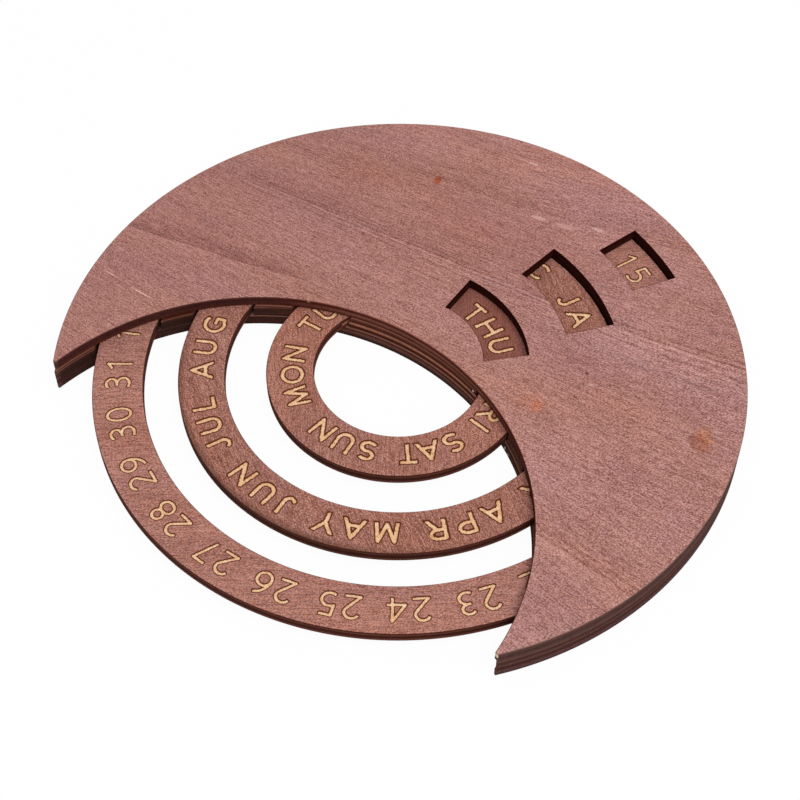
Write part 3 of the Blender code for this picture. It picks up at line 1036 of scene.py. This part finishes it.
for node, face, pen in (
    ("date_ring", dateFace, datePen), ("month_ring", monthFace, monthPen), ("week_ring", weekFace, weekPen),
):
    inner, outer = radii(node)
    inner -= pen["wider"]
    base, thickness = heights(node)
    characters = sorted(set("".join(pen["labels"])))
    (mouths, rims), widths = letterCollections(node, characters, pen)
    places = labelPoints(node, characters, widths, pen)
    values = sheetLook | {
        "Base": base, "Thickness": thickness, "Face": face, "Places": places, "Mouths": mouths,
        "Rims": rims, "Rim width": pen["rim"], "Depth": pen["depth"],
        "Scorch": scorchFinish, "Floor": pen["floor"],
    }
    outline = outlineMesh(node, [circle(outer), circle(inner, clockwise=True)])
    piece = makeSheet(node.replace("ring", "dial"), outline, engravedTree, values)
    standFor(piece, node, node)
    for extra in [places, *mouths.objects, *rims.objects]:
        bpy.data.objects.remove(extra)
    for collection in (mouths, rims):
        bpy.data.collections.remove(collection)
print("rings made")


# Floor, lights and camera
studio = {
    "floorSize": 6, "floorColour": (0.9, 0.9, 0.9), "whiteShare": 0.96, "worldLevel": 0.55,
    "lamp": {"at": (0.61, 0.05, 1.15), "size": 0.9, "power": 10.0},
}
bpy.ops.mesh.primitive_plane_add(size=studio["floorSize"], location=(0, 0, 0))
floor = bpy.context.object
floor.name = "studio floor"
floorMaterial, g = newMaterial("studio floor")
path = g.add("ShaderNodeLightPath").socket.node
seen = Wire(g, path.outputs["Is Camera Ray"]) + Wire(g, path.outputs["Is Glossy Ray"])
seen = seen + Wire(g, path.outputs["Is Transmission Ray"])
lit = g.add("ShaderNodeBsdfDiffuse", None, {"Color": (*studio["floorColour"], 1)})
white = g.add("ShaderNodeEmission", None, {"Color": (1, 1, 1, 1), "Strength": 1.0})
share = g.sum("MINIMUM", seen, 1.0) * studio["whiteShare"]
surface = g.add("ShaderNodeMixShader", None, {0: share, 1: lit, 2: white})
g.add("ShaderNodeOutputMaterial", None, {"Surface": surface})
floor.data.materials.append(floorMaterial)

world = bpy.data.worlds.new("soft studio")
scene.world = world
world.use_nodes = True
g = Graph(world.node_tree)
path = g.add("ShaderNodeLightPath").socket.node
level = studio["worldLevel"] + Wire(g, path.outputs["Is Camera Ray"]) * (1 - studio["worldLevel"])
sky = g.add("ShaderNodeBackground", None, {"Color": (1, 1, 1, 1), "Strength": level})
g.add("ShaderNodeOutputWorld", None, {"Surface": sky})

light = bpy.data.lights.new("soft overhead", "AREA")
light.shape = "DISK"
light.size = studio["lamp"]["size"]
light.energy = studio["lamp"]["power"]
holder = newObject("soft overhead", light)
holder.location = studio["lamp"]["at"]
holder.rotation_euler = (-holder.location).to_track_quat("-Z", "Y").to_euler()

cameraLook = {
    "target": (10.99 * mm, -10.25 * mm, 9.0 * mm), "distance": 399.5 * mm,
    "elevation": math.radians(51.84), "heading": math.radians(-27.8), "roll": math.radians(-0.33),
    "focal": 1677.1, "frame": 800, "sensor": 36, "nearest": 10 * mm,
}
elevation = cameraLook["elevation"]
way = Vector((*onCircle(math.cos(elevation), cameraLook["heading"]), math.sin(elevation)))
lens = bpy.data.cameras.new("photo view")
lens.sensor_width = cameraLook["sensor"]
lens.lens = cameraLook["sensor"] * cameraLook["focal"] / cameraLook["frame"]
lens.clip_start = cameraLook["nearest"]
camera = newObject("photo view", lens)
turn = way.to_track_quat("Z", "Y").to_matrix() @ Matrix.Rotation(cameraLook["roll"], 3, "Z")
place = Vector(cameraLook["target"]) + way * cameraLook["distance"]
camera.matrix_world = Matrix.Translation(place) @ turn.to_4x4()
scene.camera = camera
scene.view_settings.view_transform = "Standard"
print("camera and lights set")
